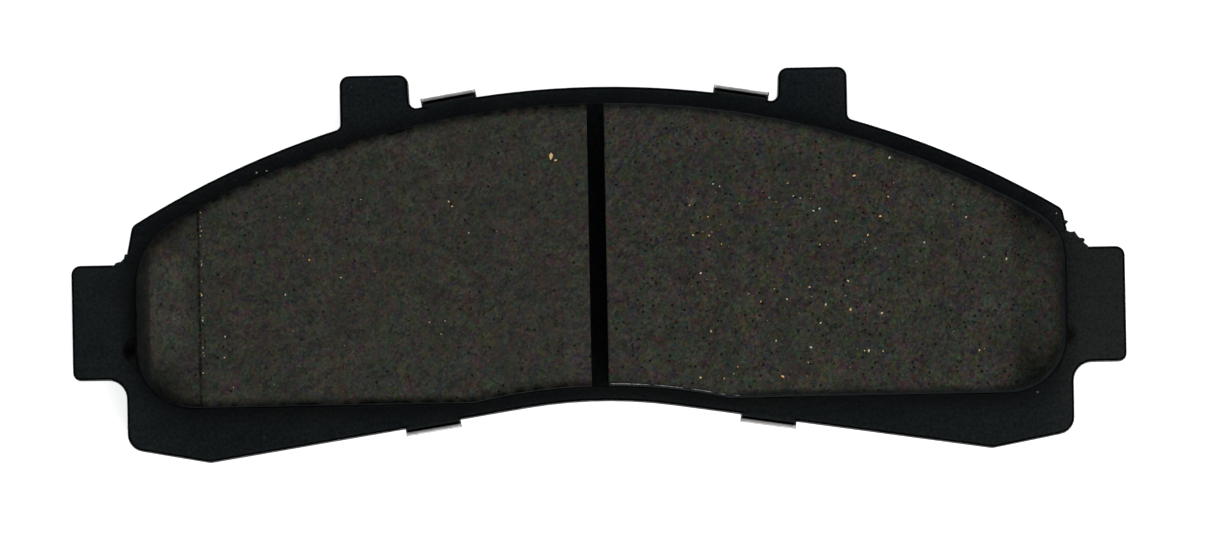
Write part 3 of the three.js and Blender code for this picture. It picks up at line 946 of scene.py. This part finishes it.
# Outlines, in millimetres, of the torn metal on the plate's cut edge, mostly in the corners above the ears.
BURRS = (
    (
        (80.1, 0.5), (84.9, 0.5), (84.3, 1.5), (83.7, 2.0), (83.9, 2.6),
        (82.9, 2.9), (82.1, 3.9), (81.2, 3.9), (80.0, 4.5),
    ),
    ((79.7, 5.2), (80.7, 5.1), (81.0, 5.7), (80.6, 6.0), (79.6, 6.2)),
    ((-83.8, 0.5), (-80.2, 0.5), (-80.1, 3.4), (-81.4, 3.1), (-81.6, 2.3), (-82.3, 1.8), (-83.1, 1.6)),
    ((-81.5, -27.0), (-80.7, -27.1), (-80.7, -25.9), (-81.4, -26.1)),
)
BURR_HEIGHT = 2.2 * MM
BURR_LIP = 0.12 * MM
BURR_JAGS = 0.16 * MM
# Grains stuck to the plate's front: their places and sizes, in millimetres.
GRAINS = (
    (-58.4, 16.6, 0.4),
    (-56.7, 16.9, 0.35),
    (79.0, 7.0, 0.3),
    (75.1, -23.6, 0.32),
)


def lump(bm, at, size):
    """An uneven closed lump about size across, a little flat."""
    flatness = 0.8
    made = bmesh.ops.create_icosphere(bm, subdivisions=3, radius=size / 2)
    for v in made["verts"]:
        shape = 1 + 0.45 * noise.noise((v.co + at) * (1.6 / size)) + 0.2 * noise.noise(v.co * (5 / size))
        v.co = Vector((v.co.x * shape, v.co.y * shape, v.co.z * shape * flatness)) + at


def stuck_grains():
    bm = bmesh.new()
    for x, y, size in GRAINS:
        lump(bm, Vector((x * MM, y * MM, PLATE_FRONT + 0.08 * MM)), size * MM)
    piece("stuck_grains", bm, GRIT_AND_GLINT, smooth=180)


def burrs():
    """Jagged metal that the punch tore out along the plate's edge, under the paint."""
    bm = bmesh.new()
    high = PLATE_FRONT + 0.02 * MM
    low = PLATE_FRONT - BURR_HEIGHT
    profile = [(BURR_LIP, low), (0, low + BURR_LIP), (0, (low + high) / 2)]
    profile += [(0, high - BURR_LIP), (BURR_LIP, high)]

    def jag(point, height):
        at = Vector((point.x, point.y, height * 0.3))
        return (0.5 + noise.noise(at * 1800)) * BURR_JAGS

    for burr in BURRS:
        outline = resampled([Vector(corner) * MM for corner in burr], 0.2 * MM)
        rings = swept(bm, outline, profile, jag)
        capped(bm, rings[0])
        capped(bm, rings[-1])
    piece("torn_burrs", bm, PAINT)


def painted_edge_glint():
    """A thin pale ridge along the right block's lower edge, a painted highlight for the glint there, in runs
    that get shorter and thinner away from the slot.
    """
    rim = resampled(outlines("friction_block_right", ROTOR_FACE, 1)[0], 0.2 * MM)
    middle = (RIGHT_LOW.y + RIGHT_HIGH.y) / 2
    start = RIGHT_LOW.x + 0.3 * MM
    path = sorted((p.x, p.y) for p in rim if start < p.x < GLINT_END and p.y < middle)
    path = [Vector((x, y + 0.28 * MM, ROTOR_FACE - 0.27 * MM)) for x, y in path]
    bm = bmesh.new()
    at = 0
    while at < len(path) - 4:
        glint_fade = (path[at].x - start) / (GLINT_END - start)
        count = random.randint(6, 26) if glint_fade > 0.35 else random.randint(25, 50)
        ridge(bm, path[at:at + count], 0.06 * MM, 1 - 0.35 * glint_fade)
        at += count + random.randint(0, 3 + int(12 * glint_fade))
    piece("painted_edge_glint", bm, GRIT_AND_GLINT, smooth=80)


def ridge(bm, path, radius, left):
    """An uneven rod along a path, thin at its ends; left is the share of its full radius that it keeps."""
    sides = 6
    rings = []
    for i, centre in enumerate(path):
        size = radius * min(1.0, 0.3 + 0.3 * min(i, len(path) - 1 - i)) * left
        size *= 1 + 0.3 * noise.noise(centre * 2500)
        ring = []
        for k in range(sides):
            turn = 2 * math.pi * k / sides
            ring.append(bm.verts.new(centre + Vector((0, math.cos(turn), math.sin(turn))) * size))
        rings.append(ring)
    for a, b in zip(rings, rings[1:]):
        wall(bm, a, b)
    bm.faces.new(rings[0][::-1])
    bm.faces.new(rings[-1])


def chip(bm, x, y, size):
    """A flat angular chip sunk in the rotor face, with its cut top just below the face's highest points."""
    top = ROTOR_FACE - 0.004 * MM
    bevel, depth = 0.012 * MM, 0.12 * MM
    corners = random.randint(5, 8)
    lean = random.uniform(0, math.pi)
    points = []
    for i in range(corners):
        turn = 2 * math.pi * i / corners
        reach = size / 2 * random.uniform(0.55, 1.0)
        long, short = reach * math.cos(turn), 0.6 * reach * math.sin(turn)
        points.append(Vector((
            x + long * math.cos(lean) - short * math.sin(lean),
            y + long * math.sin(lean) + short * math.cos(lean),
        )))
    middle = sum(points, Vector((0, 0))) / corners
    bottom = [bm.verts.new((p.x, p.y, top - depth)) for p in points]
    rim = [bm.verts.new((p.x, p.y, top - bevel)) for p in points]
    inner = [bm.verts.new((*p.lerp(middle, 0.2), top)) for p in points]
    wall(bm, bottom, rim)
    wall(bm, rim, inner)
    bm.faces.new(inner)
    bm.faces.new(bottom[::-1])


def metal_chips():
    """The large chips, a row of small ones along the left arris, and many more scattered over the faces."""
    bm = bmesh.new()
    for x, y, size in LARGE_CHIPS:
        chip(bm, x * MM, y * MM, size * MM)
    for _ in range(14):
        x = LEFT_ARRIS + random.uniform(0.0, 0.35) * MM
        chip(bm, x, random.uniform(-19, 10) * MM, random.uniform(0.2, 0.4) * MM)
    edge, arched_edge = 3 * MM, 14 * MM
    for low, high, count in ((LEFT_LOW, LEFT_HIGH, 30), (RIGHT_LOW, RIGHT_HIGH, 95)):
        for _ in range(count):
            x = random.uniform(low.x + arched_edge, high.x - arched_edge)
            y = random.uniform(low.y + edge, high.y - arched_edge)
            chip(bm, x, y, (0.18 + 0.42 * random.random() ** 2) * MM)
    piece("metal_chips", bm, CUT_METAL, smooth=20)


metal_chips()
burrs()
painted_edge_glint()
stuck_grains()

# ---- The shim's outer steel, one sheet with four bent tabs ----

SHEET_EDGE = 0.08 * MM


class Tab:
    """A tab of the flat sheet and how it bends up. Its own axes run along the bend and outwards."""

    TIP_CORNER = 0.6 * MM

    def __init__(self, tip, rim, back, front):
        centre = sum(tip, Vector((0, 0))) / len(tip)
        long_side = max(((b - a) for a, b in pairs(tip)), key=lambda edge: edge.length)
        self.half = long_side.length / 2
        self.along = long_side.normalized()
        self.out = Vector((-self.along.y, self.along.x))
        if self.out.y * centre.y < 0:
            self.out = -self.out
        self.back = back
        ends = [p for p in rim if abs(abs((p - centre).dot(self.along)) - self.half) < 2 * CLOSE]
        root = max(ends, key=lambda p: (p - centre).dot(self.out) - (p - centre).length)
        reach = (centre - root).dot(self.out)
        self.origin = centre - self.out * reach
        self.outer = reach + (front - back) / 2
        self.arc = math.pi / 2 * reach
        self.length = self.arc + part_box("shim_outer_steel")[1].z - (back + self.outer)

    def across(self, point):
        return (point - self.origin).dot(self.out)

    def holds(self, point, slack=CLOSE):
        """Whether a point of the flat sheet is on this tab."""
        beside = abs((point - self.origin).dot(self.along))
        return beside < self.half + slack and -slack < self.across(point) < self.length + slack

    def flat_tip(self, start):
        """The flat tab's outline beyond the bend line, from the corner at start to the other one."""
        side = 1 if (start - self.origin).dot(self.along) > 0 else -1
        width = self.half - self.TIP_CORNER
        height = self.length - self.TIP_CORNER
        made = []
        steps = 6
        for quadrant in (1, -1):
            for i in range(steps + 1):
                turn = math.pi / 2 * (i / steps if quadrant > 0 else 1 - i / steps)
                beside = side * quadrant * (width + self.TIP_CORNER * math.cos(turn))
                up = height + self.TIP_CORNER * math.sin(turn)
                made.append(self.origin + self.along * beside + self.out * up)
        return made

    def bent(self, at):
        """Where a point of the flat tab goes when the tab is bent."""
        flat = at.xy
        beside = (flat - self.origin).dot(self.along)
        far = self.across(flat)
        radius = self.outer - (at.z - self.back)
        turn = min(far / self.arc, 1.0) * math.pi / 2
        place = self.origin + self.along * beside + self.out * radius * math.sin(turn)
        up = self.back + self.outer - radius * math.cos(turn) + max(0.0, far - self.arc)
        return Vector((place.x, place.y, up))


def shim_outer_steel():
    node = "shim_outer_steel"
    low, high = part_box(node)
    back, front = low.z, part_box("shim_damping_rubber")[0].z
    (rim,) = outlines(node, back, -1)
    tabs = [Tab(tip, rim, back, front) for tip in outlines(node, high.z, 1)]
    pattern = []
    for a, b in pairs(rim):
        pattern.append(a)
        for tab in tabs:
            if tab.holds(a) and tab.holds(b) and abs((b - a).length - 2 * tab.half) < 5 * CLOSE:
                pattern.extend(tab.flat_tip(a))
    bm = bmesh.new()
    profile = [
        (SHEET_EDGE * 3, back),
        *quarter(0, back, SHEET_EDGE, -1, 3),
        *quarter(0, front, SHEET_EDGE, 1, 3),
        (SHEET_EDGE * 3, front),
    ]
    rings = swept(bm, resampled(pattern, OUTLINE_STEP), profile)
    capped(bm, rings[0])
    capped(bm, rings[-1])
    for tab in tabs:
        crease(bm, tab)
    made = piece("folded_shim_steel", bm, STEEL, [node], smooth=50)
    weigh_normals(made)


def crease(bm, tab):
    """Cuts the flat tab into strips across it, and bends it."""
    strips = 8
    for i in range(strips + 1):
        near = dict.fromkeys(face for face in bm.faces if any(tab.holds(v.co.xy) for v in face.verts))
        for face in list(near):
            near.update(dict.fromkeys(face.edges))
            near.update(dict.fromkeys(face.verts))
        at = tab.origin + tab.out * (tab.arc * i / strips)
        bmesh.ops.bisect_plane(
            bm, geom=list(near), dist=WELD, plane_co=(at.x, at.y, 0), plane_no=(*tab.out, 0)
        )
    for v in [v for v in bm.verts if tab.holds(v.co.xy, 5 * CLOSE) and tab.across(v.co.xy) > 0]:
        v.co = tab.bent(v.co)


shim_outer_steel()

# ---- Flat layers that keep their CAD shape ----

for node, material in (
    ("shim_inner_steel", STEEL),
    ("shim_damping_rubber", RUBBER),
    ("shim_outer_rubber", RUBBER),
):
    mesh = frame["nodes"][node].data
    mesh.materials.clear()
    mesh.materials.append(material)

# ---- Floor, light and camera ----


def floor():
    """A pale table just under the pad. It glows a little, so that the pad throws almost no shadow on it."""
    bm = bmesh.new()
    bmesh.ops.create_grid(bm, x_segments=2, y_segments=2, size=6.0)
    mesh = bpy.data.meshes.new("floor")
    bm.to_mesh(mesh)
    bm.free()
    made = placed("floor", mesh)
    made.location.z = -0.02 * MM
    n = Nodes("pale_floor")
    n.shader.inputs["Emission Color"].default_value = (1, 1, 1, 1)
    n.shader.inputs["Emission Strength"].default_value = 0.75
    mesh.materials.append(n.finish((0.8, 0.8, 0.8, 1), 0.9, specular=0.0))


def lamp(name, at, size, power, colour):
    """A square lamp that faces the middle of the pad and isn't seen itself."""
    light = bpy.data.lights.new(name, "AREA")
    light.energy = power
    light.size = size
    light.color = colour
    made = placed(name, light)
    made.location = at
    made.rotation_mode = "QUATERNION"
    made.rotation_quaternion = (-Vector(at)).to_track_quat("-Z", "Y")
    made.visible_camera = False


def camera():
    """Looks down at the friction face, a little from below it, with the frame turned a little clockwise."""
    centre = Vector((0.844, -1.13, PLATE_FRONT / MM)) * MM
    distance = 3.0
    pitch = math.radians(1.2)
    roll = math.radians(1.1)
    frame_width = 207.4 * MM
    data = bpy.data.cameras.new("camera")
    data.sensor_width = 36
    data.lens = data.sensor_width * distance / frame_width
    data.clip_end = 20
    made = placed("camera", data)
    made.location = centre + Vector((0, -math.sin(pitch), math.cos(pitch))) * distance
    made.rotation_mode = "ZYX"
    made.rotation_euler = (pitch, 0, -roll)
    bpy.context.scene.camera = made


def world():
    """A studio whose light comes from low and middle heights all round, and little from overhead."""
    made = bpy.data.worlds.new("studio")
    made.use_nodes = True
    tree = made.node_tree
    place = tree.nodes.new("ShaderNodeTexCoord")
    parts = tree.nodes.new("ShaderNodeSeparateXYZ")
    ramp = tree.nodes.new("ShaderNodeValToRGB")
    tree.links.new(place.outputs["Generated"], parts.inputs["Vector"])
    tree.links.new(parts.outputs["Z"], ramp.inputs["Fac"])
    tree.links.new(ramp.outputs["Color"], tree.nodes["Background"].inputs["Color"])
    bands = ramp.color_ramp.elements
    bands[0].position, bands[0].color = 0.0, (0.8, 0.84, 0.86, 1)
    bands[1].position, bands[1].color = 1.0, (0.08, 0.10, 0.12, 1)
    middle = bands.new(0.62)
    middle.color = (0.90, 0.96, 1.0, 1)
    upper = bands.new(0.82)
    upper.color = (0.12, 0.14, 0.16, 1)
    tree.nodes["Background"].inputs["Strength"].default_value = 0.68
    bpy.context.scene.world = made


floor()
lamp("table_side", at=(0.15, -0.38, 0.30), size=0.35, power=1.5, colour=(1.0, 0.975, 0.93))
lamp("far_side", at=(0.1, 1.3, 0.8), size=0.8, power=11.5, colour=(1.0, 0.99, 0.97))
lamp("rake_left", at=(-1.3, 0.1, 0.7), size=0.6, power=0.5, colour=(1.0, 0.99, 0.97))
camera()
world()
bpy.context.scene.view_settings.view_transform = "Standard"
